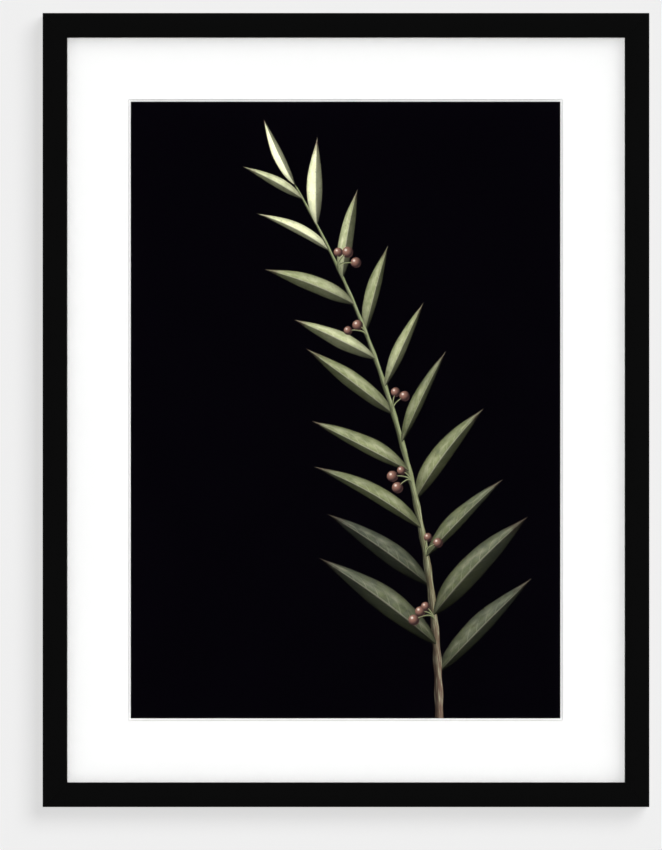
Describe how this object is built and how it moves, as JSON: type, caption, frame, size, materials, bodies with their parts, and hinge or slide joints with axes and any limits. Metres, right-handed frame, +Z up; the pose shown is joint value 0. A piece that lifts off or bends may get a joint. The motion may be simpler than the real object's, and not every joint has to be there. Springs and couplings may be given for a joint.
{
  "type": "framed print",
  "caption": "Upright wall picture in a flat black mitred frame with glazing, a wide white bevelled window mat and a sprig print; sawtooth hanger on the back.",
  "frame": {"origin": "the hanging point: the middle of the nail's shank under the centre notch of the sawtooth hanger, on the wall's plane", "axes": "+Z up, +Y into the wall (the picture faces -Y), +X to the right for someone who faces the picture"},
  "size_m": [0.494, 0.025, 0.6465],
  "materials": {
    "moulding": "black satin lacquer on the front and sides, bare pale wood on the rear face and in the rebate",
    "glazing": "clear polished picture glass",
    "mat_board": "matt white, lightly toothed, with a bright white bevelled core",
    "print_paper": "satin photo paper: black ground with a sprig in pale green and grey green",
    "hinge_tape": "gummed linen tape",
    "mount_board": "off-white board",
    "backing_board": "brown fibre board, smooth face",
    "bright_steel": "zinc plated",
    "black_steel": "blackened spring steel",
    "bumper_rubber": "matt"
  },
  "bodies": {
    "root": {"art_print": "print_paper", "backing_board": "backing_board", "bumper_left": "bumper_rubber", "bumper_right": "bumper_rubber", "glazing": "glazing", "hanger_plate": "bright_steel", "hanger_screw_left": "bright_steel", "hanger_screw_right": "bright_steel", "mount_board": "mount_board", "print_hinge_left": "hinge_tape", "print_hinge_right": "hinge_tape", "rail_bottom": "moulding", "rail_left": "moulding", "rail_right": "moulding", "rail_top": "moulding", "tab_bottom_1": "black_steel", "tab_bottom_2": "black_steel", "tab_bottom_3": "black_steel", "tab_left_1": "black_steel", "tab_left_2": "black_steel", "tab_left_3": "black_steel", "tab_left_4": "black_steel", "tab_right_1": "black_steel", "tab_right_2": "black_steel", "tab_right_3": "black_steel", "tab_right_4": "black_steel", "tab_top_1": "black_steel", "tab_top_2": "black_steel", "tab_top_3": "black_steel", "v_nail_bottom_left_inner": "bright_steel", "v_nail_bottom_left_outer": "bright_steel", "v_nail_bottom_right_inner": "bright_steel", "v_nail_bottom_right_outer": "bright_steel", "v_nail_top_left_inner": "bright_steel", "v_nail_top_left_outer": "bright_steel", "v_nail_top_right_inner": "bright_steel", "v_nail_top_right_outer": "bright_steel", "window_mat": "mat_board"}
  },
  "joints": []
}
